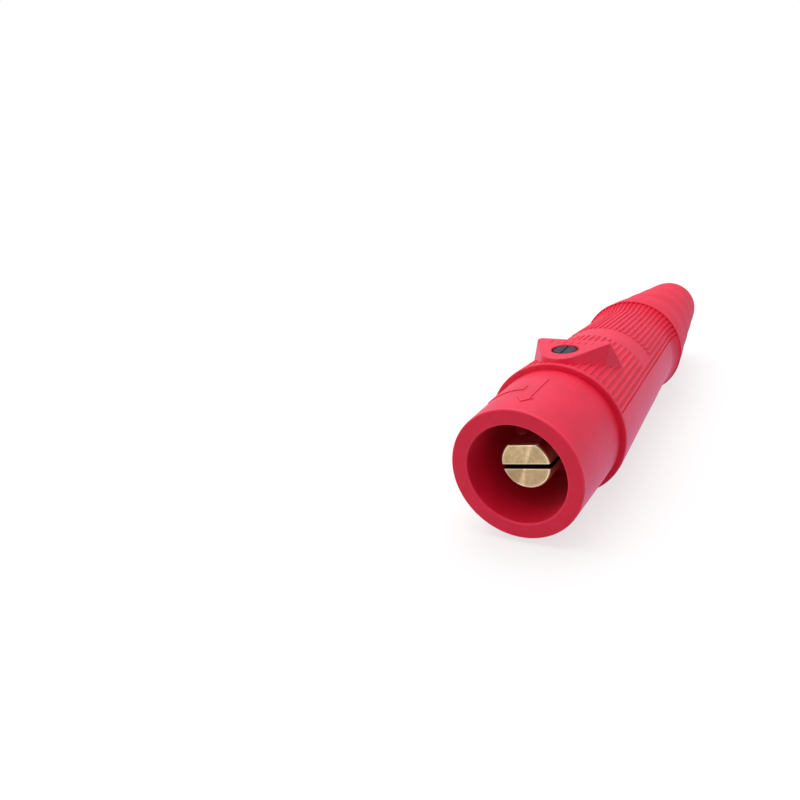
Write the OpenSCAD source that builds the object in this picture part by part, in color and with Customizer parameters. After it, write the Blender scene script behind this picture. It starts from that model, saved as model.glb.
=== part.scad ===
// In-line single-pole cam lock plug: a moulded rubber sleeve over a turned brass cam contact.
// Origin: on the contact's axis, at the front face of its flange, where the mating contact stops.
// Axes: +Y runs back to the cable, -Y out of the socket, +Z through the thumb wing.
// Stations are distances behind the front rim, along the axis. Lengths are in millimetres.

/* [Collar] */
// Bore of the socket round the contact pin
socket_d = 31.6; // [29.5:0.2:35]
// Depth of the socket, from the front rim to the contact's flange
socket_depth = 36; // [33:0.5:42]
// Wall of the collar round the socket
collar_wall = 5.1; // [4:0.1:7]
// Length of the collar, from the front rim to the shoulder ring
collar_len = 32.6; // [28:0.2:38]
// Rounding of the rim's outer edge
rim_round = 0.5; // [0.3:0.1:2.4]
// Rounding of the rim's inner edge
mouth_round = 0.7; // [0.2:0.1:1.4]

/* [Body] */
// Step from the collar up to the shoulder ring
ring_step = 1.9; // [1:0.1:3]
// Width of the ring's plain rim, ahead of the ribs
ring_w = 1.6; // [1:0.1:3]
// Rounding of the ring's front edge
ring_round = 0.5; // [0.2:0.1:0.8]
// Length of the ribbed body, from the ring's face to the rear lip
body_len = 82.6; // [76:0.2:92]
// Wall of the sleeve over the barrel, at the waist
waist_wall = 5.35; // [4.5:0.05:7]
// Length of the flare from the waist to the rear lip
flare_len = 6.4; // [5:0.2:12]
// Rise from the waist to the rear lip
flare_rise = 1.6; // [0.8:0.1:2.5]
// Step from the ribs' tops up to the rear lip
lip_step = 0.3; // [0.1:0.05:0.5]
// Depth of the flat under the ring and the lip, on which the plug rests
rest_flat = 0.15; // [0.05:0.05:0.3]

/* [Ribs] */
// Depth of the grooves between the ribs
rib_depth = 0.5; // [0.4:0.05:1]
// Angle from rib to rib
rib_pitch = 5.5; // [4.6:0.05:6]
// Share of the pitch that the rib takes
rib_share = 0.44; // [0.35:0.01:0.6]
// Ribs on each side of the middle rib, on the wing's side
ribs_per_side = 12; // [9:1:13]
// Ribs on each side of the middle rib, on the underside
under_ribs = 7; // [4:1:13]
// Ribs on each side of the middle rib that stop at the smooth pad behind the wing
pad_ribs = 10; // [5:1:11]
// Start of the pad, behind the ring's face
pad_start = 38.2; // [34:0.2:42]
// Length of the pad
pad_len = 10.4; // [6:0.2:14]
// Depth of the pad below the ribs' tops
pad_depth = 0.3; // [0.1:0.05:0.35]

/* [Tail] */
// Length of the strain-relief tail behind the rear lip
tail_len = 58.4; // [48:0.2:70]
// Bore for the cable at the tail's end
cable_d = 18; // [16:0.2:20]
// Wall of the tail at its end
tail_wall = 1.9; // [1.5:0.1:3]
// Rounding of the tail's rear edge
tail_round = 0.6; // [0.3:0.1:1.4]
// Stepped cutting rings along the tail
tail_steps = 4; // [3:1:7]
// Length of each ring as a share of the ring ahead of it
tail_close = 0.87; // [0.75:0.01:1]
// Height of the first ring's crown over the straight taper
tail_crown = 0.35; // [0.1:0.05:0.5]
// Height of each crown as a share of the crown ahead of it
tail_fade = 0.6; // [0.4:0.05:1]
// Length of the cavity's taper down to the cable bore
throat_len = 16; // [10:0.5:24]

/* [Wing] */
// Width of the thumb wing over its rear corners
wing_w = 25; // [22:0.2:26.6]
// Reach of the wing ahead of the retaining screw
wing_front = 9.5; // [8:0.1:11]
// Reach of the wing behind the retaining screw
wing_rear = 9.8; // [8.5:0.1:12]
// Height of the wing's top over the shoulder ring
wing_rise = 1.2; // [0.6:0.1:3]
// Radius of the wing's rear corners
wing_corner = 1.6; // [1.3:0.1:3]
// Radius of the wing's front corner
wing_nose = 6.3; // [4.5:0.1:7]
// Rounding of the wing's top edge
wing_round = 0.5; // [0.3:0.1:1.2]
// Outward slope of the wing's walls, per unit of height
wing_draft = 0.32; // [0.1:0.02:0.36]

/* [Contact] */
// Diameter of the contact pin
pin_d = 16; // [14:0.1:18]
// Recess of the pin's face behind the front rim
pin_recess = 7.6; // [5:0.2:10]
// Bevel of the pin's front edge
pin_bevel = 0.7; // [0.3:0.1:1.2]
// Height of the key flat over the pin's axis
flat_h = 6.2; // [5.4:0.1:6.8]
// Turn of the key flat about the axis, from the retaining screw
flat_turn = -8; // [-20:1:20]
// Length of the keyed head, from the pin's face to the cam groove
head_len = 8.5; // [6:0.5:10]
// Width of the cam groove
groove_w = 6; // [5:0.2:7]
// Lead of the cam groove: its tilt off square to the axis
groove_tilt = 6; // [2:0.5:8]
// Width of the spring slit across the pin
slit_w = 1.5; // [0.8:0.1:2]
// Drop of the slit's middle below the axis
slit_drop = 0.7; // [0:0.1:1.2]
// Length of the spring slit
slit_len = 17; // [12:0.5:19]
// Diameter of the flange that seats in the sleeve
flange_d = 26; // [25:0.2:28]
// Length of the flange
flange_len = 16; // [13:0.5:18]
// Diameter of the cable barrel
barrel_d = 24; // [22:0.2:24.6]
// Length of the cable barrel
barrel_len = 48; // [42:0.5:54]
// Bore of the barrel for the stripped conductor
conductor_d = 15; // [13:0.1:16]
// Depth of the conductor bore
conductor_depth = 42; // [38:0.5:44]
// Bevel of the contact's turned edges
edge_bevel = 0.8; // [0.3:0.1:1.2]

/* [Screws] */
// Diameter of the retaining screw's head
head_d = 7.6; // [7:0.1:8.4]
// Height of the retaining screw's head
head_h = 5; // [4:0.1:6]
// Sink of the head below the wing's top
head_sink = 0.2; // [0.1:0.1:0.8]
// Diameter of the retaining screw's shank
shank_d = 6; // [5:0.1:6.6]
// Depth of the shank in the flange
shank_grip = 6; // [4:0.2:7]
// Place of the retaining screw, behind the flange's front face
screw_back = 7.8; // [6:0.2:9]
// Diameter of the set screws
set_d = 8; // [6:0.2:9]
// Width of the set screws' hexagon socket across its corners
set_key = 4.6; // [3:0.1:5]
// Number of set screws along the barrel
set_count = 2; // [1:1:2]
// Place of the rear set screw, ahead of the barrel's end
set_back = 14; // [10:0.5:16]
// Distance from set screw to set screw
set_pitch = 16; // [12:0.5:18]

/* [Fits] */
// Clearance of the contact in the sleeve, per side
sleeve_gap = 0.15; // [0.05:0.05:0.3]
// Clearance of the sleeve round the retaining screw's head, per side
head_gap = 0.5; // [0.2:0.1:0.8]
// Clearance of a screw in its hole, per side
screw_gap = 0.1; // [0.05:0.05:0.2]
// Clearance behind the end of the barrel
end_gap = 0.8; // [0.2:0.1:2]

/* [Hidden] */
round_fn = 80;
small_fn = 32;
arc_steps = 6;
past = 1; // how far a cut runs past a face
bite = 0.1; // how far a rib sinks below the rim and the lip that it runs into

socket_r = socket_d / 2;
collar_r = socket_r + collar_wall;
ring_r = collar_r + ring_step;
seat_r = flange_d / 2 + sleeve_gap;
cavity_r = barrel_d / 2 + sleeve_gap;
cable_r = cable_d / 2;
waist_r = cavity_r + waist_wall;
lip_r = waist_r + flare_rise;
rib_end_r = lip_r - lip_step;
tail_r = cable_r + tail_wall;

// Stations along the axis
flange_end = socket_depth + flange_len;
barrel_end = flange_end + barrel_len;
rib_front = collar_len + ring_w;
lip_s = collar_len + body_len;
waist_s = lip_s - flare_len;
tail_end = lip_s + tail_len;
pad_front = collar_len + pad_start;
pad_rear = pad_front + pad_len;
screw_s = socket_depth + screw_back;
set_s = barrel_end - set_back;

rest_slope = atan((ring_r - lip_r) / (lip_s - rib_front));

rib_half = rib_pitch * rib_share / 2;
panel_edge = rib_pitch * (ribs_per_side + 1) - rib_half;
under_edge = rib_pitch * (under_ribs + 1) - rib_half;
pad_edge = rib_pitch * (pad_ribs + 1) - rib_half;
rib_near = waist_r - rib_depth - past;
rib_far = 3 * ring_r;

wing_top = ring_r + wing_rise;
wing_root = wing_top / 6;
wing_lean = wing_draft * (wing_top - wing_root);
wing_side = wing_w / 2 - wing_corner;
wing_back = wing_rear - wing_corner;
wing_corners = [
    [-wing_side, wing_back, wing_corner], [wing_side, wing_back, wing_corner],
    [0, wing_nose - wing_front, wing_nose]
];
wing_feet = [
    [-wing_side - wing_lean, wing_back + wing_lean, wing_corner],
    [wing_side + wing_lean, wing_back + wing_lean, wing_corner],
    [0, wing_nose - wing_front, wing_nose + wing_lean]
];
head_top = wing_top - head_sink;
head_seat = head_top - head_h;
shank_end = flange_d / 2 - shank_grip;
head_bevel = head_d / 20;
head_slot_w = head_d / 12;
head_slot_depth = head_h / 16;
set_top = sqrt(pow(barrel_d / 2, 2) - pow(set_d / 2, 2));
set_low = conductor_d / 2 + screw_gap;
set_key_depth = (set_top - set_low) / 2;

// Points of an arc about a centre, from one angle to another
function arc(centre, r, from, to) =
    [for (i = [0:arc_steps]) let (a = from + (to - from) * i / arc_steps) centre + r * [cos(a), sin(a)]];

// Flare behind the waist, out to the ribs' ends at the lip
function flare(drop) = [[waist_r - drop, waist_s], [rib_end_r - drop, lip_s]];

// Length of the first rings of the tail, in lengths of its first ring
function run(count) = count == 0 ? 0 : pow(tail_close, count - 1) + run(count - 1);

// Point of the tail's straight taper, at a share of its length, raised by a crown
function taper(u, crown) = [rib_end_r + (tail_r - rib_end_r) * u + crown, lip_s + tail_len * u];

// Tail behind the lip: a straight taper with a low crown in the middle of every cutting ring
function tail() = [
    for (i = [0:tail_steps - 1])
        let (u = run(i) / run(tail_steps), v = run(i + 1) / run(tail_steps))
            each [taper(u, i == 0 ? lip_step : 0), taper((u + v) / 2, tail_crown * pow(tail_fade, i))]
];

function sleeve_outline() = concat(
    [[0, 0]],
    arc([collar_r - rim_round, rim_round], rim_round, -90, 0),
    [[collar_r, collar_len]],
    arc([ring_r - ring_round, collar_len + ring_round], ring_round, -90, 0),
    [[ring_r, rib_front], [ring_r - rib_depth, rib_front]],
    flare(rib_depth),
    tail(),
    arc([tail_r - tail_round, tail_end - tail_round], tail_round, 0, 90),
    [[0, tail_end]]
);

// Body at the ribs' tops, or a drop below them
function rib_outline(drop) = concat(
    [[rib_near, rib_front - ring_w / 2], [ring_r - bite - drop, rib_front - ring_w / 2]],
    flare(drop),
    [[rib_end_r - bite - drop, lip_s + bite], [rib_near, lip_s + bite]]
);

function cavity_outline() = concat(
    [[0, -past], [socket_r + mouth_round, -past]],
    arc([socket_r + mouth_round, mouth_round], mouth_round, -90, -180),
    [
        [socket_r, socket_depth], [seat_r, socket_depth],
        [seat_r, flange_end], [cavity_r, flange_end],
        [cavity_r, barrel_end + end_gap], [cable_r, barrel_end + end_gap + throat_len],
        [cable_r, tail_end + past], [0, tail_end + past]
    ]
);

function contact_outline() = [
    [0, pin_recess], [pin_d / 2 - pin_bevel, pin_recess], [pin_d / 2, pin_recess + pin_bevel],
    [pin_d / 2, socket_depth], [flange_d / 2 - edge_bevel, socket_depth],
    [flange_d / 2, socket_depth + edge_bevel], [flange_d / 2, flange_end],
    [barrel_d / 2, flange_end], [barrel_d / 2, barrel_end - edge_bevel],
    [barrel_d / 2 - edge_bevel, barrel_end], [0, barrel_end]
];

// Outline of one corner of the wing's top, with its rounded edge
function cap_outline(r) = concat(
    [[0, wing_top - wing_round]],
    arc([r - wing_round, wing_top - wing_round], wing_round, 0, 90),
    [[0, wing_top]]
);

// Places what is measured from the front rim
module station(s) {
    translate([0, s - socket_depth, 0]) children();
}

// Stands what is drawn along +Z on the part's axis, with the wing's side towards -Y of the drawing
module along_axis(s = 0) {
    station(s) rotate([-90, 0, 0]) children();
}

module lathe(points) {
    along_axis() rotate_extrude($fn = round_fn) polygon(points);
}

// Section of the ribs between two angles, counted from the wing
module sector(from, to) {
    polygon([for (q = [[rib_near, from], [rib_far, from], [rib_far, to], [rib_near, to]])
        q[0] * [sin(q[1]), -cos(q[1])]]);
}

// Ribs numbered first to last on both sides of a middle line, between two stations
module rib_bars(middle, first, last, from, to) {
    along_axis(from) linear_extrude(to - from)
        for (i = [-last:last]) if (abs(i) >= first) {
            a = middle + rib_pitch * i;
            sector(a - rib_half, a + rib_half);
        }
}

// The mould's plain sides, at the level of the ribs
module side_panels(from, to) {
    along_axis(from) linear_extrude(to - from)
        for (span = [[panel_edge, 180 - under_edge], [180 + under_edge, 360 - panel_edge]])
            sector(span[0], span[1]);
}

module ribs() {
    front = rib_front - ring_w;
    rear = lip_s + past;
    intersection() {
        lathe(rib_outline(0));
        union() {
            rib_bars(0, 0, pad_ribs, front, pad_front);
            rib_bars(0, 0, pad_ribs, pad_rear, rear);
            rib_bars(0, pad_ribs + 1, ribs_per_side, front, rear);
            rib_bars(180, 0, under_ribs, front, rear);
            side_panels(front, rear);
        }
    }
    intersection() {
        lathe(rib_outline(pad_depth));
        along_axis(pad_front) linear_extrude(pad_len) sector(-pad_edge, pad_edge);
    }
}

// Thumb wing: a flat top with three rounded corners, and walls that slope out to its root in the body
module wing() {
    station(screw_s) hull() {
        for (c = wing_corners)
            translate([c[0], c[1], 0]) rotate_extrude($fn = small_fn) polygon(cap_outline(c[2]));
        for (f = wing_feet)
            translate([f[0], f[1], wing_root]) cylinder(r = f[2], h = past, $fn = small_fn);
    }
}

// Round hole across the axis, from one height up to another
module cross_hole(s, d, low, high) {
    station(s) translate([0, 0, low]) cylinder(d = d, h = high - low, $fn = small_fn);
}

// Room under the flat that the ring and the lip rest on
module rest_cut() {
    station(rib_front) translate([0, 0, rest_flat - ring_r]) rotate([rest_slope, 0, 0])
        translate([-ring_r, -body_len, -ring_r]) cube([2 * ring_r, 3 * body_len, ring_r]);
}

// One-piece moulded sleeve: collar, shoulder ring, ribbed body, wing and stepped tail
module sleeve() {
    color("crimson") difference() {
        union() {
            lathe(sleeve_outline());
            ribs();
            wing();
        }
        lathe(cavity_outline());
        rest_cut();
        cross_hole(screw_s, head_d + 2 * head_gap, head_seat, wing_top + past);
        cross_hole(screw_s, shank_d + 2 * screw_gap, 0, head_seat + past);
    }
}

// Cam groove: a square ring, tilted so that turning the plug draws it home
module cam_groove() {
    station(pin_recess + head_len + groove_w / 2) rotate([-90 + groove_tilt, 0, 0])
        rotate_extrude($fn = round_fn)
            translate([flat_h, -groove_w / 2]) square([pin_d, groove_w]);
}

// Key flat along the head, open to the groove, and the slit that lets the pin spring
module pin_cuts() {
    station(pin_recess - past) {
        translate([-pin_d, 0, flat_h]) cube([2 * pin_d, head_len + groove_w / 2 + past, pin_d]);
        translate([-pin_d, 0, -slit_drop - slit_w / 2]) cube([2 * pin_d, slit_len + past, slit_w]);
    }
}

// Turned contact: slit cam pin, flange and cable barrel
module contact() {
    color("goldenrod") difference() {
        lathe(contact_outline());
        rotate([0, flat_turn, 0]) {
            pin_cuts();
            cam_groove();
        }
        along_axis(barrel_end - conductor_depth)
            cylinder(d = conductor_d, h = conductor_depth + past, $fn = small_fn);
        along_axis(barrel_end - edge_bevel)
            cylinder(d1 = conductor_d, d2 = conductor_d + 4 * edge_bevel, h = 2 * edge_bevel, $fn = small_fn);
        cross_hole(screw_s, shank_d + 2 * screw_gap, shank_end - past, flange_d / 2 + past);
        for (i = [0:set_count - 1])
            cross_hole(set_s - i * set_pitch, set_d + 2 * screw_gap, 0, barrel_d / 2 + past);
    }
}

// Socket set screws, backed out level with the barrel so that the conductor bore is free
module set_screws() {
    color("slategray")
        for (i = [0:set_count - 1])
            station(set_s - i * set_pitch) difference() {
                translate([0, 0, set_low]) cylinder(d = set_d, h = set_top - set_low, $fn = small_fn);
                translate([0, 0, set_top - set_key_depth])
                    cylinder(d = set_key, h = set_key_depth + past, $fn = 6);
            }
}

// Slotted plastic screw that pins the contact to the wing
module retaining_screw() {
    color("darkslategray") station(screw_s) difference() {
        rotate_extrude($fn = small_fn) polygon([
            [0, shank_end], [shank_d / 2, shank_end], [shank_d / 2, head_seat],
            [head_d / 2, head_seat], [head_d / 2, head_top - head_bevel],
            [head_d / 2 - head_bevel, head_top], [0, head_top]
        ]);
        translate([-head_slot_w / 2, -head_d, head_top - head_slot_depth])
            cube([head_slot_w, 2 * head_d, head_h]);
    }
}

sleeve();
contact();
set_screws();
retaining_screw();
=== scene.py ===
import math
import bmesh
import bpy
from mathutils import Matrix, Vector


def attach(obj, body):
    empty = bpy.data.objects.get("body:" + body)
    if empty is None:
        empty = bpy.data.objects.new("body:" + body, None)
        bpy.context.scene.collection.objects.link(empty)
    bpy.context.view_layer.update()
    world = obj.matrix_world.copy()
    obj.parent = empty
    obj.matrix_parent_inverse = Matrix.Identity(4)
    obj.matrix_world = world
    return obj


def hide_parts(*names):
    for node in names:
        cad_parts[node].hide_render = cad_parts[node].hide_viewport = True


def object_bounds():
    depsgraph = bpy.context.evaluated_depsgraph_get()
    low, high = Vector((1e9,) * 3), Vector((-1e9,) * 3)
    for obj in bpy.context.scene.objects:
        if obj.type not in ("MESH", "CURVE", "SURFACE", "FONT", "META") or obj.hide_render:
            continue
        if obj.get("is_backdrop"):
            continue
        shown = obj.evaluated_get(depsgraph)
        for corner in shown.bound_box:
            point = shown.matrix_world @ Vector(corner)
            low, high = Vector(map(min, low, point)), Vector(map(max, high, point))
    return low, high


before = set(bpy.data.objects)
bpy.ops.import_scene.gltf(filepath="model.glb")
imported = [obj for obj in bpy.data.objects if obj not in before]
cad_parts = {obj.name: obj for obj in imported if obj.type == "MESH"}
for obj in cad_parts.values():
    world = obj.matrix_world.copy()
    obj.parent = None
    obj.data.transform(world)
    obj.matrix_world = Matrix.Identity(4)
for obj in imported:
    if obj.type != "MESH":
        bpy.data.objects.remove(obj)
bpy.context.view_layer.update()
print("frame loaded, nodes:", ", ".join(sorted(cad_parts)))

mm = 0.001
flangeFace = 36.0  # station of the frame's origin behind the front rim, in mm


def clearPick():
    if bpy.context.mode != "OBJECT":
        bpy.ops.object.mode_set(mode="OBJECT")
    bpy.ops.object.select_all(action="DESELECT")


def takeUp(piece):  # selects one piece alone
    clearPick()
    piece.select_set(True)
    bpy.context.view_layer.objects.active = piece


def nameIt(name):
    piece = bpy.context.object
    piece.name = piece.data.name = name
    return piece


def settle(piece):  # place, turn and scale go into the mesh
    takeUp(piece)
    bpy.ops.object.transform_apply(location=True, rotation=True, scale=True)


def onAxis(angle, station, radius):  # degrees from the wing, mm behind the rim, mm off the axis
    a = math.radians(angle)
    return (radius * mm * math.sin(a), (station - flangeFace) * mm, radius * mm * math.cos(a))


def evenAngles(count):
    return [360.0 * i / count for i in range(count)]


def arcPoints(station, radius, size, start, end, steps):  # round of a profile, in degrees from +radius
    points = []
    for i in range(steps + 1):
        a = math.radians(start + (end - start) * i / steps)
        points.append((station + size * math.sin(a), radius + size * math.cos(a)))
    return points


def startRing(name, angles, station, radius, fill="NOTHING"):
    clearPick()
    bpy.ops.mesh.primitive_circle_add(vertices=len(angles), radius=radius * mm, fill_type=fill)
    ring = nameIt(name)
    for corner, angle in zip(ring.data.vertices, angles):
        corner.co = onAxis(angle, station, radius)
    return ring


def runThrough(piece, profile):  # extrudes the open ring from each profile point to the next
    takeUp(piece)
    bpy.ops.object.mode_set(mode="EDIT")
    bpy.ops.mesh.select_mode(type="EDGE")
    bpy.ops.mesh.select_all(action="SELECT")
    for (s0, r0), (s1, r1) in zip(profile, profile[1:]):
        bpy.ops.mesh.extrude_region_move(TRANSFORM_OT_translate={"value": (0, (s1 - s0) * mm, 0)})
        if abs(r1 - r0) > 1e-9:
            k = r1 / r0
            bpy.ops.transform.resize(value=(k, 1, k), center_override=(0, (s1 - flangeFace) * mm, 0))
    bpy.ops.object.mode_set(mode="OBJECT")


def closeUp(piece, reach=1e-6):  # merges doubles, then turns the faces outwards
    takeUp(piece)
    bpy.ops.object.mode_set(mode="EDIT")
    bpy.ops.mesh.select_all(action="SELECT")
    bpy.ops.mesh.remove_doubles(threshold=reach)
    bpy.ops.mesh.normals_make_consistent(inside=False)
    bpy.ops.object.mode_set(mode="OBJECT")


def pickFaces(piece, wanted):  # wanted(face) is asked for every face
    takeUp(piece)
    mesh = piece.data
    for part in (mesh.vertices, mesh.edges):
        part.foreach_set("select", [False] * len(part))
    for face in mesh.polygons:
        face.select = wanted(face)
    bpy.ops.object.mode_set(mode="EDIT")
    bpy.ops.mesh.select_mode(type="FACE")


def pickEdges(piece, wanted):  # wanted(edge) is asked for every edge between two faces
    takeUp(piece)
    bpy.ops.object.mode_set(mode="EDIT")
    bpy.ops.mesh.select_mode(type="EDGE")
    bpy.ops.mesh.select_all(action="DESELECT")
    mesh = bmesh.from_edit_mesh(piece.data)
    for edge in mesh.edges:
        if len(edge.link_faces) == 2 and wanted(edge):
            edge.select = True
    mesh.select_flush_mode()
    bmesh.update_edit_mesh(piece.data)


def joinOrCut(piece, tool, operation):
    takeUp(piece)
    bpy.ops.object.modifier_add(type="BOOLEAN")
    step = piece.modifiers[-1]
    step.object, step.operation, step.solver = tool, operation, "EXACT"
    bpy.ops.object.modifier_apply(modifier=step.name)
    takeUp(tool)
    bpy.ops.object.delete()


def smoothOff(piece, angle):  # soft shading with weighted normals, so flats stay flat
    takeUp(piece)
    bpy.ops.object.shade_smooth_by_angle(angle=math.radians(angle))
    bpy.ops.object.modifier_add(type="WEIGHTED_NORMAL")
    step = piece.modifiers[-1]
    step.keep_sharp, step.weight = True, 60
    bpy.ops.object.modifier_apply(modifier=step.name)


def roundEdges(piece, width, angle, segments=2):
    takeUp(piece)
    bpy.ops.object.modifier_add(type="BEVEL")
    step = piece.modifiers[-1]
    step.width, step.segments, step.limit_method = width * mm, segments, "ANGLE"
    step.angle_limit = math.radians(angle)
    step.use_clamp_overlap = True
    bpy.ops.object.modifier_apply(modifier=step.name)


def boxTool(name, low, high):  # cutting box from its two corners, in mm
    clearPick()
    bpy.ops.mesh.primitive_cube_add(size=1, location=[(a + b) / 2 * mm for a, b in zip(low, high)],
                                    scale=[(b - a) * mm for a, b in zip(low, high)])
    tool = nameIt(name)
    settle(tool)
    return tool


def postTool(name, station, radius, low, high, corners=48):  # upright cutting post across the axis
    clearPick()
    bpy.ops.mesh.primitive_cylinder_add(vertices=corners, radius=radius * mm, depth=(high - low) * mm,
                                        location=(0, (station - flangeFace) * mm, (low + high) / 2 * mm))
    tool = nameIt(name)
    settle(tool)
    return tool


# sleeve: one red rubber moulding
sleeveForm = dict(
    socketRadius=15.8, collarRadius=20.9, collarLength=32.6, rimRound=0.5, mouthRound=0.7,
    ringRadius=22.8, ringRound=0.5, ribFront=34.2,
    waistStation=108.8, waistRadius=17.5, waistBlend=1.8, lipStation=115.2, lipRadius=19.1, lipStep=0.3, lipRound=0.3,
    ribPitch=5.5, ribHalf=1.21, ribTurn=1.5, ribsPerSide=12, underRibs=7, ribDepth=0.44, ribRound=0.26,
    floorRound=0.12, endSlope=0.5, padFront=70.8, padRear=81.2, padRibs=10, panelColumns=22,
    tailEnd=173.6, tailRadius=10.9, tailRings=4, tailClose=0.87, tailCrown=0.35, tailFade=0.6, tailRound=0.6,
    boreRound=0.4,
    cableRadius=9.0, throatEnd=116.8, throatStart=100.8, barrelCavity=12.15, flangeEnd=52.0, flangeCavity=13.15,
    restFlat=0.15, outerFrom=15.0, ribEdgeAngle=0.9, smoothAngle=38,
)


def edgeOf(f, count):  # angle at which the plain side follows a set of ribs
    return (count + 1) * f["ribPitch"] - f["ribHalf"]


def ribColumns(f):  # angles of the rib edges all the way round, with the plain sides between
    def bars(middle, count):
        sides = (-f["ribHalf"], f["ribHalf"])
        return [middle + i * f["ribPitch"] + side for i in range(-count, count + 1) for side in sides]

    def plain(first, last):
        return [first + (last - first) * i / f["panelColumns"] for i in range(f["panelColumns"] + 1)]

    top, under = edgeOf(f, f["ribsPerSide"]), edgeOf(f, f["underRibs"])
    return (bars(f["ribTurn"], f["ribsPerSide"]) + plain(top, 180 - under)
            + bars(180, f["underRibs"]) + plain(180 + under, 360 - top + f["ribTurn"]))


def inGroove(f, x, z):
    def offRib(a):
        return abs(a - round(a / f["ribPitch"]) * f["ribPitch"]) > f["ribHalf"]

    a, top = math.degrees(math.atan2(x, z)), edgeOf(f, f["ribsPerSide"])
    if abs(a) > 90:
        return 180 - abs(a) < edgeOf(f, f["underRibs"]) and offRib(180 - abs(a))
    return f["ribTurn"] - top < a < top and offRib(a - f["ribTurn"])


def tailProfile(f):  # straight taper with a soft crown on each ring, every ring shorter than the one ahead
    lengths, points, start = [f["tailClose"] ** i for i in range(f["tailRings"])], [], 0.0
    ribEnd = f["lipRadius"] - f["lipStep"]
    for i, length in enumerate(lengths):
        for step in range(8):
            wave = 0.5 + 0.5 * math.cos(math.pi * step / 4)
            u = (start + length * step / 8) / sum(lengths)
            raised = f["tailCrown"] * f["tailFade"] ** i * (1 - wave)
            if i == 0 and step < 4:
                raised += f["lipStep"] * wave  # the lip runs down into the first crown
            radius = ribEnd + (f["tailRadius"] - ribEnd) * u + raised
            points.append((f["lipStation"] + (f["tailEnd"] - f["lipStation"]) * u, radius))
        start += length
    return points[1:]


def bodyLines(f):  # slopes of the body and of the flare
    taper = (f["waistRadius"] - f["ringRadius"]) / (f["waistStation"] - f["ribFront"])
    rise = (f["lipRadius"] - f["lipStep"] - f["waistRadius"]) / (f["lipStation"] - f["waistStation"])
    return taper, rise


def sleeveProfile(f):  # closed profile of (station, radius), from the mouth over the outside and back inside
    taper, rise = bodyLines(f)
    ribEnd = f["lipRadius"] - f["lipStep"]  # the ribs stop a step below the lip
    b, waist = f["waistBlend"], []
    for u in (0, 0.25, 0.5, 0.75, 1):  # the bend of the flare, rounded
        s = f["waistStation"] - b + 2 * b * u
        waist.append((s, f["waistRadius"] - taper * b * (1 - u) ** 2 + rise * b * u ** 2))
    mouth, rim, ring = f["mouthRound"], f["rimRound"], f["ringRound"]
    points = arcPoints(mouth, f["socketRadius"] + mouth, mouth, -180, -90, 5)
    points += arcPoints(rim, f["collarRadius"] - rim, rim, -90, 0, 8)
    points += [(f["collarLength"] - 0.25, f["collarRadius"]), (f["collarLength"], f["collarRadius"])]
    points += arcPoints(f["collarLength"] + ring, f["ringRadius"] - ring, ring, -90, 0, 5)
    points += [(f["ribFront"] - 0.25, f["ringRadius"]), (f["ribFront"], f["ringRadius"])]
    points += [(s, f["ringRadius"] + taper * (s - f["ribFront"])) for s in (f["padFront"], f["padRear"])]
    lip = f["lipRound"]
    points += waist + [(f["lipStation"], ribEnd)]
    points += arcPoints(f["lipStation"] + lip, f["lipRadius"] - lip, lip, -90, 0, 4) + tailProfile(f)
    points += arcPoints(f["tailEnd"] - f["tailRound"], f["tailRadius"] - f["tailRound"], f["tailRound"], 0, 90, 6)
    bore = f["boreRound"]
    points += arcPoints(f["tailEnd"] - bore, f["cableRadius"] + bore, bore, 90, 180, 3)
    points += [(f["throatEnd"], f["cableRadius"]), (f["throatStart"], f["barrelCavity"]),
               (f["flangeEnd"], f["barrelCavity"]), (f["flangeEnd"], f["flangeCavity"]),
               (flangeFace, f["flangeCavity"]), (flangeFace, f["socketRadius"])]
    return points + [points[0]]


def makeSleeveSkin(f):
    profile = sleeveProfile(f)
    skin = startRing("sleeveMoulding", ribColumns(f), *profile[0])
    runThrough(skin, profile)
    closeUp(skin, 2e-6)

    def station(face):
        return face.center.y / mm + flangeFace

    def onBody(face):
        outer = math.hypot(face.center.x, face.center.z) > f["outerFrom"] * mm
        return outer and f["ribFront"] < station(face) < f["lipStation"]

    def onPad(face):
        a = abs(math.degrees(math.atan2(face.center.x, face.center.z)) - f["ribTurn"])
        return f["padFront"] < station(face) < f["padRear"] and a < edgeOf(f, f["padRibs"])

    # pad and grooves go down together
    pickFaces(skin, lambda face: onBody(face) and (onPad(face) or inGroove(f, face.center.x, face.center.z)))
    bpy.ops.mesh.extrude_region_shrink_fatten(TRANSFORM_OT_shrink_fatten={"value": -f["ribDepth"] * mm})
    bpy.ops.object.mode_set(mode="OBJECT")
    taper = bodyLines(f)[0]
    for border, away in ((f["padFront"], -f["endSlope"]), (f["padRear"], f["endSlope"])):  # ribs slope down to the pad
        crest = f["ringRadius"] + taper * (border - f["ribFront"])
        for corner in skin.data.vertices:
            atBorder = abs(corner.co.y / mm + flangeFace - border) < 0.01
            if atBorder and math.hypot(corner.co.x, corner.co.z) / mm > crest - 0.05:
                corner.co.y += away * mm

    def ribEdge(edge, convex):
        middle = (edge.verts[0].co + edge.verts[1].co) / 2
        s, r = middle.y / mm + flangeFace, math.hypot(middle.x, middle.z) / mm
        if not (f["ribFront"] - 0.01 < s < f["lipStation"] + 0.01 and r > f["outerFrom"]):
            return False
        return edge.calc_face_angle(0) > f["ribEdgeAngle"] and edge.is_convex == convex

    for size, convex, segments in ((f["floorRound"], False, 2), (f["ribRound"], True, 4)):
        pickEdges(skin, lambda edge: ribEdge(edge, convex))
        bpy.ops.mesh.bevel(offset=size * mm, segments=segments, affect="EDGES", clamp_overlap=False)
        bpy.ops.object.mode_set(mode="OBJECT")
    return skin


sleeve = makeSleeveSkin(sleeveForm)
print("sleeve skin:", len(sleeve.data.polygons), "faces")

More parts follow.
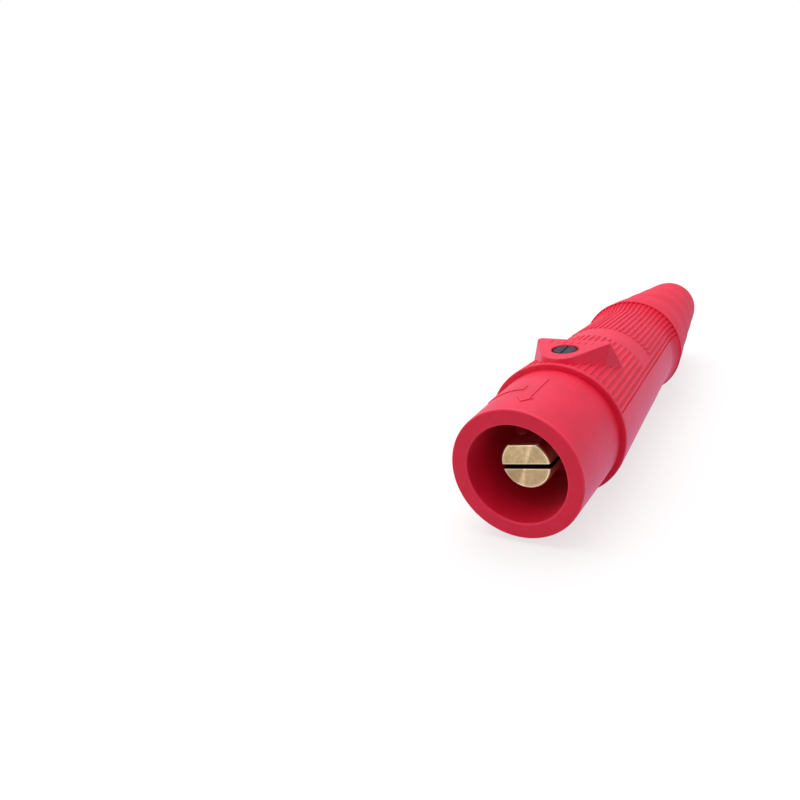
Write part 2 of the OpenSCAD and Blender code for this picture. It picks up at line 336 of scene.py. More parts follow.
wingForm = dict(
    width=25.0, front=9.5, rear=9.8, top=24.0, root=4.0, corner=1.6, nose=6.3, edgeRound=0.5, draft=0.32, inside=16.0,
    foldRun=(0.03, 0.624, 0.78), foldFacing=(0.9, -0.36, 0.26), foldSoft=4.0,
    wallFacing=0.8, wallArea=20, flatAngle=0.4,
    screwStation=43.8, holeRadius=4.3, holeFloor=18.8, holeFlare=0.25, shankHole=3.1,
    gripBars=7, gripPitch=2.3, gripWidth=0.6, gripLength=2.4, gripHeight=0.16, gripPlace=6.75, gripEdge=0.1,
    gripCorner=0.28,
)


def ringInEdit(x, y, z, radius, corners=48):  # one more ring in the mesh that is being edited
    bpy.ops.mesh.primitive_circle_add(vertices=corners, radius=radius * mm, location=(x * mm, y * mm, z * mm))


def softenFold(wing, f, hand, back):  # lines beside the fold of one wall, so that it shades softly
    corner = Vector((hand * (f["width"] / 2 - 0.1), back, f["top"] - f["edgeRound"])) * mm
    run, facing = (Vector((hand * x, y, z)) for x, y, z in (f["foldRun"], f["foldFacing"]))
    across = run.cross(facing).normalized()
    for reach in (-f["foldSoft"], f["foldSoft"]):
        pickFaces(wing, lambda face: face.normal.x * hand > f["wallFacing"] and face.area > f["wallArea"] * mm * mm)
        bpy.ops.mesh.bisect(plane_co=corner + across * reach * mm, plane_no=across)
        bpy.ops.object.mode_set(mode="OBJECT")


def makeWing(f):  # three rounded corners and their feet, wrapped in one skin
    middle = f["screwStation"] - flangeFace
    side, back = f["width"] / 2 - f["corner"], middle + f["rear"] - f["corner"]
    tip, lean = middle + f["nose"] - f["front"], f["draft"] * (f["top"] - f["root"])
    startRing("wing", evenAngles(8), flangeFace + tip, f["nose"])  # emptied, so that the rings go into one mesh
    bpy.ops.object.mode_set(mode="EDIT")
    bpy.ops.mesh.delete(type="VERT")
    for x, y, r in ((-side, back, f["corner"]), (side, back, f["corner"]), (0, tip, f["nose"])):
        for i in range(7):
            a = math.radians(15 * i)
            ringInEdit(x, y, f["top"] - f["edgeRound"] * (1 - math.sin(a)), r - f["edgeRound"] * (1 - math.cos(a)))
    for x, y, r in ((-side - lean, back + lean, f["corner"]), (side + lean, back + lean, f["corner"]),
                    (0, tip, f["nose"] + lean)):
        ringInEdit(x, y, f["root"], r)
    bpy.ops.mesh.select_all(action="SELECT")
    bpy.ops.mesh.convex_hull()
    bpy.ops.mesh.dissolve_limited(angle_limit=math.radians(f["flatAngle"]))
    bpy.ops.object.mode_set(mode="OBJECT")
    wing = bpy.context.object
    for hand in (-1, 1):
        softenFold(wing, f, hand, back)
    clearPick()
    bpy.ops.mesh.primitive_cylinder_add(vertices=96, radius=f["inside"] * mm, depth=0.2, rotation=(math.pi / 2, 0, 0))
    core = nameIt("wingCore")
    settle(core)
    joinOrCut(wing, core, "DIFFERENCE")  # keeps the wing out of the contact's room
    return wing


def makeGripBar(f, x):  # low bar with rounded edges on the wing's rear
    y = f["screwStation"] - flangeFace + f["gripPlace"]
    bar = boxTool("gripBar", (x - f["gripWidth"] / 2, y - f["gripLength"] / 2, f["top"] - 0.5),
                  (x + f["gripWidth"] / 2, y + f["gripLength"] / 2, f["top"] + f["gripHeight"]))
    pickEdges(bar, lambda edge: abs(edge.verts[0].co.z - edge.verts[1].co.z) > 0.1 * mm)
    bpy.ops.mesh.bevel(offset=f["gripCorner"] * f["gripWidth"] * mm, segments=3, affect="EDGES")
    bpy.ops.object.mode_set(mode="OBJECT")
    roof = (f["top"] + f["gripHeight"] - 0.01) * mm
    pickEdges(bar, lambda edge: min(v.co.z for v in edge.verts) > roof)
    bpy.ops.mesh.bevel(offset=f["gripEdge"] * mm, segments=2, affect="EDGES")
    bpy.ops.object.mode_set(mode="OBJECT")
    return bar


def makeScrewWell(f):  # post that cuts the head's well, opened a little at the top
    well = postTool("screwWell", f["screwStation"], f["holeRadius"], f["holeFloor"], f["top"] + 1)
    pickFaces(well, lambda face: face.center.z > (f["top"] + 0.9) * mm)
    bpy.ops.transform.translate(value=(0, 0, -mm - f["holeFlare"] * mm))
    bpy.ops.mesh.extrude_region_move(TRANSFORM_OT_translate={"value": (0, 0, f["holeFlare"] * mm)})
    k = (f["holeRadius"] + f["holeFlare"]) / f["holeRadius"]
    centre = (0, (f["screwStation"] - flangeFace) * mm, f["top"] * mm)
    bpy.ops.transform.resize(value=(k, k, 1), center_override=centre)
    bpy.ops.mesh.extrude_region_move(TRANSFORM_OT_translate={"value": (0, 0, mm)})
    bpy.ops.object.mode_set(mode="OBJECT")
    return well


# raised sign on the collar: push home, then turn (angle in degrees, station in mm)
signForm = dict(
    collarRadius=20.9, height=0.28, sunk=0.5, edgeRound=0.14, edgeAngle=0.5, slice=1.5,
    pushArrow=((-2.4, 24.6), (5.6, 24.6), (5.6, 9.6), (8.5, 9.6), (1.4, 6.1), (-5.6, 9.3), (-2.4, 9.3)),
    turnArrow=((-6.3, 15.2), (-6.3, 18.4), (-38, 17.8), (-38, 19.6), (-46, 16.2), (-38, 12.8), (-38, 14.6)),
)


def makeSign(f, outline):
    clearPick()
    bpy.ops.mesh.primitive_circle_add(vertices=len(outline), radius=mm, fill_type="NGON")
    sign = nameIt("collarSign")
    unroll = math.radians(1) * f["collarRadius"] * mm
    for corner, (angle, station) in zip(sign.data.vertices, outline):
        corner.co = (angle * unroll, (station - flangeFace) * mm, -f["sunk"] * mm)
    bpy.ops.object.mode_set(mode="EDIT")
    left, right = min(a for a, s in outline), max(a for a, s in outline)
    for i in range(1, int((right - left) / f["slice"])):  # slices, so that it can bend round the collar
        bpy.ops.mesh.select_all(action="SELECT")
        bpy.ops.mesh.bisect(plane_co=((left + i * f["slice"]) * unroll, 0, 0), plane_no=(1, 0, 0))
    bpy.ops.mesh.select_all(action="SELECT")
    bpy.ops.mesh.extrude_region_move(TRANSFORM_OT_translate={"value": (0, 0, (f["sunk"] + f["height"]) * mm)})
    closeUp(sign)
    roof = (f["height"] - 0.01) * mm
    pickEdges(sign, lambda edge: min(v.co.z for v in edge.verts) > roof and edge.calc_face_angle(0) > f["edgeAngle"])
    bpy.ops.mesh.bevel(offset=f["edgeRound"] * mm, segments=2, affect="EDGES", clamp_overlap=False)
    bpy.ops.object.mode_set(mode="OBJECT")
    for corner in sign.data.vertices:
        corner.co = onAxis(corner.co.x / unroll, corner.co.y / mm + flangeFace, f["collarRadius"] + corner.co.z / mm)
    closeUp(sign)
    return sign


def makeRestCut(f):  # room under the flat that the ring and the lip lie on
    wide, slope = 2 * f["ringRadius"], math.atan2(f["ringRadius"] - f["lipRadius"], f["lipStation"] - f["ribFront"])
    cut = boxTool("restCut", (-wide, -3 * wide, -wide), (wide, 5 * wide, 0))
    cut.rotation_euler.x = slope
    cut.location = (0, (f["ribFront"] - flangeFace) * mm, (f["restFlat"] - f["ringRadius"]) * mm)
    settle(cut)
    return cut


joinOrCut(sleeve, makeWing(wingForm), "UNION")
joinOrCut(sleeve, makeScrewWell(wingForm), "DIFFERENCE")
joinOrCut(sleeve, postTool("shankHole", wingForm["screwStation"], wingForm["shankHole"], 2, wingForm["holeFloor"] + 1),
          "DIFFERENCE")
for bar in range(wingForm["gripBars"]):
    joinOrCut(sleeve, makeGripBar(wingForm, (bar - (wingForm["gripBars"] - 1) / 2) * wingForm["gripPitch"]), "UNION")
for outline in (signForm["pushArrow"], signForm["turnArrow"]):
    joinOrCut(sleeve, makeSign(signForm, outline), "UNION")
joinOrCut(sleeve, makeRestCut(sleeveForm), "DIFFERENCE")
smoothOff(sleeve, sleeveForm["smoothAngle"])
print("sleeve with wing and sign:", len(sleeve.data.polygons), "faces")

# contact: turned from one brass bar
contactForm = dict(
    pinRadius=8.0, pinFace=7.6, pinBevel=0.7, flangeRadius=13.0, flangeEnd=52.0, barrelRadius=12.0, barrelEnd=100.0,
    boreRadius=7.5, boreEnd=58.0, edgeBevel=0.8, flatHeight=6.2, flatTurn=-8.0, headLength=8.5,
    grooveWidth=6.0, grooveTilt=6.0, slitWidth=1.5, slitDrop=0.7, slitLength=17.0,
    screwStation=43.8, screwHole=3.1, screwFloor=6.0, setStations=(70.0, 86.0), setHole=4.1, brokenEdge=0.26,
    edgeAngle=28, smoothAngle=30, corners=128,
)


def turnTool(tool, angle):  # turns a cutting tool about the part's axis
    tool.rotation_euler.y = math.radians(angle)
    settle(tool)
    return tool


def makeGrooveTool(f):  # square ring, tilted for the cam's lead
    half, outer = f["grooveWidth"] / 2, 2 * f["pinRadius"]
    ringProfile = [(flangeFace - half, outer), (flangeFace + half, outer),
                   (flangeFace + half, f["flatHeight"]), (flangeFace - half, f["flatHeight"])]
    tool = startRing("camGroove", evenAngles(96), *ringProfile[0])
    runThrough(tool, ringProfile + ringProfile[:1])
    closeUp(tool)
    tool.rotation_euler.x = math.radians(f["grooveTilt"])
    tool.location.y = (f["pinFace"] + f["headLength"] + half - flangeFace) * mm
    settle(tool)
    return tool


def makeContact(f):
    bevel = f["edgeBevel"]
    pinEdge = arcPoints(f["pinFace"] + f["pinBevel"], f["pinRadius"] - f["pinBevel"], f["pinBevel"], -90, 0, 4)
    profile = pinEdge + [
        (flangeFace, f["pinRadius"]), (flangeFace, f["flangeRadius"] - bevel),
        (flangeFace + bevel, f["flangeRadius"]), (f["flangeEnd"], f["flangeRadius"]),
        (f["flangeEnd"], f["barrelRadius"]), (f["barrelEnd"] - bevel, f["barrelRadius"]),
        (f["barrelEnd"], f["barrelRadius"] - bevel), (f["barrelEnd"], f["boreRadius"] + bevel),
        (f["barrelEnd"] - bevel, f["boreRadius"]), (f["boreEnd"], f["boreRadius"]),
    ]
    contact = startRing("turnedContact", evenAngles(f["corners"]), *profile[0])
    runThrough(contact, profile)
    bpy.ops.object.mode_set(mode="EDIT")
    bpy.ops.mesh.select_all(action="SELECT")
    bpy.ops.mesh.fill_holes(sides=0)
    bpy.ops.object.mode_set(mode="OBJECT")
    closeUp(contact)
    front, reach = f["pinFace"] - 1 - flangeFace, 2 * f["pinRadius"]
    headEnd = f["pinFace"] + f["headLength"] + f["grooveWidth"] / 2 - flangeFace
    flat = boxTool("keyFlat", (-reach, front, f["flatHeight"]), (reach, headEnd, reach))
    slit = boxTool("springSlit", (-reach, front, -f["slitDrop"] - f["slitWidth"] / 2),
                   (reach, f["pinFace"] + f["slitLength"] - flangeFace, -f["slitDrop"] + f["slitWidth"] / 2))
    for tool in (flat, slit, makeGrooveTool(f)):
        joinOrCut(contact, turnTool(tool, f["flatTurn"]), "DIFFERENCE")
    joinOrCut(contact, postTool("pinHole", f["screwStation"], f["screwHole"], f["screwFloor"], reach), "DIFFERENCE")
    for station in f["setStations"]:
        joinOrCut(contact, postTool("setHole", station, f["setHole"], 0, reach), "DIFFERENCE")
    roundEdges(contact, f["brokenEdge"], f["edgeAngle"])
    smoothOff(contact, f["smoothAngle"])
    return contact


contact = makeContact(contactForm)
print("contact:", len(contact.data.polygons), "faces")

# retaining screw: black plastic, slotted
screwForm = dict(
    station=43.8, headRadius=3.8, headTop=23.8, headSeat=18.8, headBevel=0.38, shankRadius=3.0, shankEnd=7.0,
    slotWidth=0.63, slotDepth=0.31, softEdge=0.08, edgeAngle=40, smoothAngle=30, corners=64,
)


def makeScrew(f):
    screw = postTool("slottedScrew", f["station"], f["headRadius"], f["headSeat"], f["headTop"], f["corners"])
    pickFaces(screw, lambda face: face.center.z < (f["headSeat"] + 0.01) * mm)
    bpy.ops.mesh.inset(thickness=(f["headRadius"] - f["shankRadius"]) * mm, depth=0)
    bpy.ops.mesh.extrude_region_move(TRANSFORM_OT_translate={"value": (0, 0, (f["shankEnd"] - f["headSeat"]) * mm)})
    bpy.ops.object.mode_set(mode="OBJECT")
    pickEdges(screw, lambda edge: min(v.co.z for v in edge.verts) > (f["headTop"] - 0.01) * mm)
    bpy.ops.mesh.bevel(offset=f["headBevel"] * mm, segments=4, affect="EDGES")
    bpy.ops.object.mode_set(mode="OBJECT")
    long, half = 2 * f["headRadius"], f["slotWidth"] / 2
    slot = boxTool("slot", (-half, -long, f["headTop"] - f["slotDepth"]), (half, long, f["headTop"] + 2))
    slot.location.y = (f["station"] - flangeFace) * mm
    settle(slot)
    joinOrCut(screw, slot, "DIFFERENCE")
    roundEdges(screw, f["softEdge"], f["edgeAngle"])
    smoothOff(screw, f["smoothAngle"])
    return screw


screw = makeScrew(screwForm)
print("retaining screw:", len(screw.data.polygons), "faces")

# finishes: one node tree each, all on object coordinates in metres


def newFinish(name):
    finish = bpy.data.materials.new(name)
    finish.use_nodes = True
    return finish, finish.node_tree, finish.node_tree.nodes["Principled BSDF"]


def addNode(tree, kind, **settings):  # laid out in rows, left of what was there
    node, count = tree.nodes.new(kind), len(tree.nodes)
    node.location = (count % 8 * 220 - 2200, -320 * (count // 8))
    for key, value in settings.items():
        setattr(node, key, value)
    return node


def feed(tree, socket, value):  # a number, a colour, a vector or another node's socket
    if isinstance(value, bpy.types.NodeSocket):
        tree.links.new(value, socket)
    else:
        socket.default_value = (*value, 1) if socket.type == "RGBA" else value


def feedAll(tree, node, values):
    for name, value in values.items():
        feed(tree, node.inputs[name], value)


def objectPlace(tree):
    return addNode(tree, "ShaderNodeTexCoord").outputs["Object"]


def noiseOn(tree, where, grain, detail=3.0, rough=0.55):  # grain in mm
    noise = addNode(tree, "ShaderNodeTexNoise")
    feedAll(tree, noise, {"Vector": where, "Scale": 1 / (grain * mm), "Detail": detail, "Roughness": rough})
    return noise.outputs["Fac"]


def lathedNoise(tree, along, grain):  # marks that change along one length only
    noise = addNode(tree, "ShaderNodeTexNoise", noise_dimensions="1D")
    feedAll(tree, noise, {"W": along, "Scale": 1 / (grain * mm), "Detail": 3.0})
    return noise.outputs["Fac"]


def rampFrom(tree, value, span, low, high):  # low and high are two colours or two numbers
    ramp = addNode(tree, "ShaderNodeValToRGB")
    for element, at, tone in zip(ramp.color_ramp.elements, span, (low, high)):
        element.position = at
        element.color = (*tone, 1) if isinstance(tone, tuple) else (tone, tone, tone, 1)
    feed(tree, ramp.inputs["Fac"], value)
    return ramp.outputs["Color"]


def bumpFrom(tree, height, strength, depth, under=None):  # depth in mm
    bump = addNode(tree, "ShaderNodeBump")
    feedAll(tree, bump, {"Height": height, "Strength": strength, "Distance": depth * mm})
    if under is not None:
        feed(tree, bump.inputs["Normal"], under)
    return bump.outputs["Normal"]


def mathOn(tree, operation, *values, clamp=False):
    node = addNode(tree, "ShaderNodeMath", operation=operation, use_clamp=clamp)
    for socket, value in zip(node.inputs, values):
        feed(tree, socket, value)
    return node.outputs["Value"]


def product(tree, first, *others):
    for other in others:
        first = mathOn(tree, "MULTIPLY", first, other)
    return first


def stepOn(tree, value, start, end):  # soft step from 0 at start to 1 at end
    node = addNode(tree, "ShaderNodeMapRange", interpolation_type="SMOOTHSTEP")
    feedAll(tree, node, {"Value": value, "From Min": start, "From Max": end})
    return node.outputs["Result"]


def stationStep(tree, y, start, end):  # the same between two stations, in mm behind the rim
    return stepOn(tree, y, (start - flangeFace) * mm, (end - flangeFace) * mm)


def blendOn(tree, factor, first, second):
    node = addNode(tree, "ShaderNodeMix", data_type="RGBA")
    feedAll(tree, node, {"Factor": factor, "A": first, "B": second})
    return node.outputs["Result"]


def offAxis(tree, where):  # y, z and the distance from the part's axis
    apart = addNode(tree, "ShaderNodeSeparateXYZ")
    feed(tree, apart.inputs["Vector"], where)
    x, y, z = (apart.outputs[axis] for axis in "XYZ")
    return y, z, mathOn(tree, "SQRT", mathOn(tree, "ADD", product(tree, x, x), product(tree, z, z)))


rubberLook = dict(
    deep=(0.74, 0.003, 0.030), plain=(0.82, 0.004, 0.037), cloudGrain=9.0, cloud=(0.35, 0.65),
    dusty=(0.84, 0.028, 0.085), speckGrain=0.55, speck=(0.60, 0.74), dustShare=0.35,
    # tone and width of a painted highlight on the rim's outer edge and round its mouth
    edgeHighlightTone=(0.88, 0.022, 0.066), highlightBand=0.55,
    skinGrain=0.28, skin=(0.3, 0.7), rough=(0.44, 0.60), tailMatt=0.20, grooveMatt=0.10, grooveSpan=(0.3, 0.7),
    padEdge=(0.47, 0.49), fade=0.1, speckBump=(0.10, 0.05), skinBump=(0.16, 0.03),
    gloss=0.5, glossTint=(0.95, 0.80, 1.0), sheen=0.03, sheenRough=0.45,
)


def paleEdgeHighlight(tree, f, form, y, radius):  # painted highlight: 1 on the rim's outer edge and round its mouth
    collar, mouth, highlightBand = (size * mm for size in (form["collarRadius"], form["socketRadius"], f["highlightBand"]))
    flared = mouth + form["mouthRound"] * mm
    outside = stepOn(tree, radius, collar - highlightBand, collar - highlightBand / 2)
    inside = product(tree, stepOn(tree, radius, flared, flared - highlightBand / 2),
                     stepOn(tree, radius, mouth, mouth + highlightBand / 3))
    ahead = stationStep(tree, y, 2.2 * f["highlightBand"], f["highlightBand"])
    return product(tree, ahead, mathOn(tree, "MAXIMUM", outside, inside))


def grooveFloors(tree, f, form, y, z, radius):  # 1 down between the ribs, 0 on crests, pad and elsewhere
    taper, rise = bodyLines(form)
    body = mathOn(tree, "MULTIPLY_ADD", y, taper, (form["ringRadius"] + taper * (flangeFace - form["ribFront"])) * mm)
    flare = mathOn(tree, "MULTIPLY_ADD", y, rise,
                   (form["waistRadius"] + rise * (flangeFace - form["waistStation"])) * mm)
    sunk = mathOn(tree, "SUBTRACT", mathOn(tree, "MAXIMUM", body, flare), radius)
    deep = stepOn(tree, sunk, *(share * form["ribDepth"] * mm for share in f["grooveSpan"]))
    ribbed = product(tree, stationStep(tree, y, form["ribFront"], form["ribFront"] + f["fade"]),
                     stationStep(tree, y, form["lipStation"], form["lipStation"] - f["fade"]))
    padHalf = (form["padRear"] - form["padFront"]) / 2
    fromPad = mathOn(tree, "ABSOLUTE", mathOn(tree, "ADD", y, (flangeFace - form["padFront"] - padHalf) * mm))
    onPad = product(tree, stepOn(tree, fromPad, (padHalf + form["endSlope"]) * mm, padHalf * mm),
                    stepOn(tree, mathOn(tree, "DIVIDE", z, radius), *f["padEdge"]))
    return product(tree, deep, ribbed, mathOn(tree, "SUBTRACT", 1.0, onPad))


def makeRubber(f, form):
    finish, tree, shader = newFinish("sleeveRubber")
    where = objectPlace(tree)
    y, z, radius = offAxis(tree, where)
    cloud = noiseOn(tree, where, f["cloudGrain"], 4)
    speck = noiseOn(tree, where, f["speckGrain"], 2)
    skin = noiseOn(tree, where, f["skinGrain"])
    dust = product(tree, rampFrom(tree, speck, f["speck"], 0, 1), f["dustShare"])
    colour = blendOn(tree, dust, rampFrom(tree, cloud, f["cloud"], f["deep"], f["plain"]), f["dusty"])
    rough = rampFrom(tree, skin, f["skin"], *f["rough"])
    tail = stationStep(tree, y, form["waistStation"], form["lipStation"])
    for mask, more in ((tail, f["tailMatt"]), (grooveFloors(tree, f, form, y, z, radius), f["grooveMatt"])):
        rough = mathOn(tree, "MULTIPLY_ADD", mask, more, rough)
    relief = bumpFrom(tree, skin, *f["skinBump"], bumpFrom(tree, speck, *f["speckBump"]))
    # the rim's edges are painted paler: a painted highlight
    colour = blendOn(tree, paleEdgeHighlight(tree, f, form, y, radius), colour, f["edgeHighlightTone"])
    feedAll(tree, shader, {"Base Color": colour, "Roughness": rough, "Normal": relief,
                           "Specular IOR Level": f["gloss"], "Specular Tint": f["glossTint"],
                           "Sheen Weight": f["sheen"], "Sheen Roughness": f["sheenRough"]})
    return finish


# the lathe's marks run round the axis, and the lay turns the shine across them
brassLook = dict(
    pale=(0.61, 0.465, 0.24), dull=(0.45, 0.32, 0.155), tone=(0.38, 0.60), stainGrain=2.2, markGrain=0.5, turnGrain=0.3,
    # painted shade in the red of the socket walls, high on the pin behind its face, which also stands for their painted
    # reflection
    lowerHalfShade=0.09, socketRedShade=(0.36, 0.05, 0.04), shadeStart=7.8, darkFrom=9.4, shadeAbove=3.5, fade=0.1,
    # painted highlight along the pin's edges
    edgeGlint=(0.94, 0.80, 0.50), edgeWidth=0.34, edgeDepth=(0.45, 0.2),
    # painted shade inside the slit
    slitShade=(0.05, 0.018, 0.018), slitShadeReach=(0.1, 0.02), wobbleGrain=0.9, wobble=(0.3, 0.7), rough=(0.285, 0.33),
    markBump=(0.25, 0.03), lay=0.25,
)


def brightEdges(tree, f, form, y, z, radius, fromSlit):  # painted highlight along the edges of the face, the flat and the slit
    wide, slitHalf = f["edgeWidth"] * mm, form["slitWidth"] / 2 * mm
    brim, top = (form["pinRadius"] - form["pinBevel"]) * mm, form["flatHeight"] * mm - wide
    outer = product(tree, stepOn(tree, radius, brim - wide / 2, brim),
                    stepOn(tree, radius, brim + wide, brim + wide / 2))
    flat = stepOn(tree, z, top, top + wide / 2)
    slit = stepOn(tree, fromSlit, slitHalf + wide, slitHalf + wide / 2)
    ahead = stationStep(tree, y, *(form["pinFace"] + depth for depth in f["edgeDepth"]))
    return product(tree, ahead, mathOn(tree, "MAXIMUM", outer, mathOn(tree, "MAXIMUM", flat, slit)))


def makeBrass(f, form):
    finish, tree, shader = newFinish("contactBrass")
    where = objectPlace(tree)
    keyed = addNode(tree, "ShaderNodeMapping")  # upright to the key flat
    feedAll(tree, keyed, {"Vector": where, "Rotation": (0, -math.radians(form["flatTurn"]), 0)})
    y, z, radius = offAxis(tree, keyed.outputs["Vector"])
    fromSlit = mathOn(tree, "ABSOLUTE", mathOn(tree, "ADD", z, form["slitDrop"] * mm))
    onPin = stationStep(tree, y, flangeFace, flangeFace - f["fade"])
    marks, turns = lathedNoise(tree, radius, f["markGrain"]), lathedNoise(tree, y, f["turnGrain"])
    stain = noiseOn(tree, where, f["stainGrain"], 5)
    tone = mathOn(tree, "MULTIPLY_ADD", stain, 0.5, product(tree, marks, 0.5))
    under = stepOn(tree, z, 0.0, -form["slitDrop"] * mm)  # painted shade: the half below the slit is darker, for the shaded floor that it reflects
    tone = mathOn(tree, "MULTIPLY_ADD", under, -f["lowerHalfShade"], tone)
    colour = rampFrom(tree, tone, f["tone"], f["dull"], f["pale"])
    # painted shade deep in the socket, in the red of the socket walls as a painted reflection, high on the pin behind
    # its face
    recessShaded = product(tree, stationStep(tree, y, f["shadeStart"], f["darkFrom"]),
                   stepOn(tree, z, f["shadeAbove"] * mm, form["flatHeight"] * mm), onPin)
    # painted shade on the walls of the slit
    shadedSlitWalls = product(tree, onPin, stepOn(
        tree, fromSlit, *((form["slitWidth"] / 2 + reach) * mm for reach in f["slitShadeReach"])))
    # painted shade and painted highlight laid over the brass tone
    for mask, layer in ((recessShaded, f["socketRedShade"]), (brightEdges(tree, f, form, y, z, radius, fromSlit), f["edgeGlint"]),
                        (shadedSlitWalls, f["slitShade"])):
        colour = blendOn(tree, mask, colour, layer)
    rough = rampFrom(tree, noiseOn(tree, where, f["wobbleGrain"], 2), f["wobble"], *f["rough"])
    relief = bumpFrom(tree, turns, *f["markBump"], bumpFrom(tree, marks, *f["markBump"]))
    around = addNode(tree, "ShaderNodeTangent", direction_type="RADIAL", axis="Y")
    feedAll(tree, shader, {"Base Color": colour, "Roughness": rough, "Normal": relief, "Metallic": 1,
                           "Tangent": around.outputs["Tangent"], "Anisotropic": 1, "Anisotropic Rotation": f["lay"]})
    return finish


plasticLook = dict(dark=(0.010, 0.007, 0.018), pale=(0.032, 0.021, 0.050), grain=1.1, mottle=(0.36, 0.64),
                   roughSpan=(0.3, 0.7), rough=(0.5, 0.38), bump=(0.25, 0.05), gloss=0.14)


def makePlastic(f):
    finish, tree, shader = newFinish("screwPlastic")
    mottle = noiseOn(tree, objectPlace(tree), f["grain"], 5, 0.6)
    feedAll(tree, shader, {"Base Color": rampFrom(tree, mottle, f["mottle"], f["dark"], f["pale"]),
                           "Roughness": rampFrom(tree, mottle, f["roughSpan"], *f["rough"]),
                           "Normal": bumpFrom(tree, mottle, *f["bump"]), "Specular IOR Level": f["gloss"]})
    return finish


steelLook = dict(dark=(0.20, 0.20, 0.21), pale=(0.36, 0.36, 0.37), grain=0.8, mottle=(0.3, 0.7), bump=(0.15, 0.03),
                 rough=0.42)


def makeSteel(f):
    finish, tree, shader = newFinish("setScrewSteel")
    mottle = noiseOn(tree, objectPlace(tree), f["grain"], 4)
    feedAll(tree, shader, {"Base Color": rampFrom(tree, mottle, f["mottle"], f["dark"], f["pale"]),
                           "Normal": bumpFrom(tree, mottle, *f["bump"]), "Metallic": 1, "Roughness": f["rough"]})
    return finish


def dress(piece, finish):
    piece.data.materials.clear()
    piece.data.materials.append(finish)


dress(sleeve, makeRubber(rubberLook, sleeveForm))
dress(contact, makeBrass(brassLook, contactForm))
dress(screw, makePlastic(plasticLook))
steel = makeSteel(steelLook)
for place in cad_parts["set_screws"].material_slots:
    place.material = steel
print("finishes made")

for piece, node, place in ((sleeve, "sleeve", "sleeve_rubber"), (contact, "contact", "contact_brass"),
                           (screw, "retaining_screw", "retaining_screw_plastic")):
    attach(piece, "root")
    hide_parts(node)

# floor and studio: white paper to what is seen straight or in a shiny surface, and plain grey light
studio = dict(
    floorSize=8.0, floorColour=(0.50, 0.50, 0.50), floorSeen=(0.32, 0.32, 0.32), floorRough=0.9, floorGlow=0.68,
    floorGlint=(1.5, 1.35, 2.2), glintFrom=-0.09, glintTo=0.0, floorNear=0.2, floorFar=0.5, white=(1.0, 1.0, 1.0),
    worldGrey=0.52, darkSide=(0.34, -0.85, 0.41), darkFrom=0.45, darkTo=0.95, darkLevel=0.06,
    glossTint=(1.0, 0.95, 1.2), stripSide=(-0.24, -0.968, 0.07), stripFrom=0.9955, stripTo=0.999, stripLevel=17.0,
    lamps=(("overhead", (-0.1, 0.1, 0.75), 0.9, 5.0), ("leftFront", (-0.45, -0.75, 0.20), 0.3, 0.5)),
    aim=(0, 0.03, 0),
)


def shinyRays(tree):  # the light path's sockets, and 1 for rays off shiny or clear surfaces
    path = addNode(tree, "ShaderNodeLightPath").outputs
    return path, mathOn(tree, "ADD", path["Is Glossy Ray"], path["Is Transmission Ray"], clamp=True)


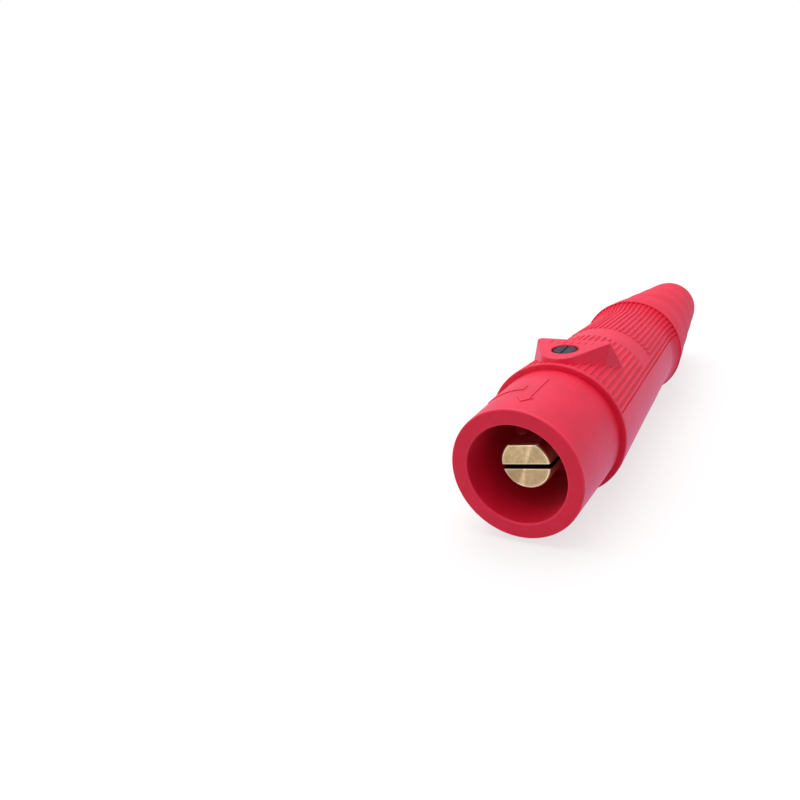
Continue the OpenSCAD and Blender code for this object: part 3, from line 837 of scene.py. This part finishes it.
def makeFloor(f):
    clearPick()
    bpy.ops.mesh.primitive_plane_add(size=f["floorSize"], location=(0, 0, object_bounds()[0].z))
    floor = nameIt("floor")
    settle(floor)
    finish, tree, shader = newFinish("floorWhite")
    where = objectPlace(tree)
    path, shiny = shinyRays(tree)
    seen = mathOn(tree, "ADD", path["Is Camera Ray"], shiny, clamp=True)
    feedAll(tree, shader, {"Roughness": f["floorRough"],
                           "Base Color": blendOn(tree, seen, f["floorColour"], f["floorSeen"])})
    reach = addNode(tree, "ShaderNodeVectorMath", operation="LENGTH")
    feed(tree, reach.inputs[0], where)
    far = stepOn(tree, reach.outputs["Value"], f["floorNear"], f["floorFar"])
    apart = addNode(tree, "ShaderNodeSeparateXYZ")
    feed(tree, apart.inputs["Vector"], where)
    glint = product(tree, stepOn(tree, apart.outputs["Y"], f["glintFrom"], f["glintTo"]), path["Is Glossy Ray"])
    glow, paper = addNode(tree, "ShaderNodeEmission"), addNode(tree, "ShaderNodeEmission")
    feedAll(tree, glow, {"Color": blendOn(tree, glint, f["white"], f["floorGlint"]),
                         "Strength": product(tree, seen, f["floorGlow"])})
    near, whole = addNode(tree, "ShaderNodeAddShader"), addNode(tree, "ShaderNodeMixShader")
    parts = (shader.outputs["BSDF"], glow.outputs["Emission"])
    layers = (product(tree, far, seen), near.outputs["Shader"], paper.outputs["Emission"])
    for node, values in ((near, parts), (whole, layers)):
        for socket, value in zip(node.inputs, values):
            feed(tree, socket, value)
    feed(tree, tree.nodes["Material Output"].inputs["Surface"], whole.outputs["Shader"])
    dress(floor, finish)
    floor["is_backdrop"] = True


def makeLamp(name, place, size, power, aim):
    lamp = bpy.data.objects.new(name, bpy.data.lights.new(name, "AREA"))
    bpy.context.scene.collection.objects.link(lamp)
    lamp.data.size, lamp.data.energy = size, power
    lamp.location = place
    lamp.rotation_euler = (Vector(place) - Vector(aim)).to_track_quat("Z", "Y").to_euler()


def makeWorld(f):  # white paper all round, dim behind the camera, with one bright strip for the brass
    world = bpy.data.worlds.new("studioWorld")
    bpy.context.scene.world = world
    world.use_nodes = True
    tree = world.node_tree
    path, shiny = shinyRays(tree)
    way = addNode(tree, "ShaderNodeTexCoord").outputs["Generated"]

    def towards(side, start, end):
        node = addNode(tree, "ShaderNodeVectorMath", operation="DOT_PRODUCT")
        feed(tree, node.inputs[0], way)
        feed(tree, node.inputs[1], side)
        return stepOn(tree, node.outputs["Value"], start, end)

    dim = towards(f["darkSide"], f["darkFrom"], f["darkTo"])
    strip = towards(f["stripSide"], f["stripFrom"], f["stripTo"])
    paper = mathOn(tree, "MULTIPLY_ADD", dim, f["darkLevel"] - 1.0, 1.0)
    lit = mathOn(tree, "MULTIPLY_ADD", strip, f["stripLevel"], paper)
    level = mathOn(tree, "MULTIPLY_ADD", shiny, mathOn(tree, "SUBTRACT", lit, f["worldGrey"]), f["worldGrey"])
    feedAll(tree, tree.nodes["Background"], {"Strength": mathOn(tree, "MAXIMUM", level, path["Is Camera Ray"]),
                                             "Color": blendOn(tree, shiny, f["white"], f["glossTint"])})


photoView = dict(place=(0.096205, -0.237659, 0.113942), turn=(68.6341, 6.8933, 30.6602), lens=38.25, sensor=36)


def makeCamera(f):
    camera = bpy.data.objects.new("photoCamera", bpy.data.cameras.new("photoCamera"))
    bpy.context.scene.collection.objects.link(camera)
    camera.location = f["place"]
    camera.rotation_euler = [math.radians(a) for a in f["turn"]]
    camera.data.lens, camera.data.sensor_width = f["lens"], f["sensor"]
    bpy.context.scene.camera = camera


makeFloor(studio)
makeWorld(studio)
for name, place, size, power in studio["lamps"]:
    makeLamp(name, place, size, power, studio["aim"])
makeCamera(photoView)
bpy.context.scene.view_settings.view_transform = "Standard"
print("studio lit")
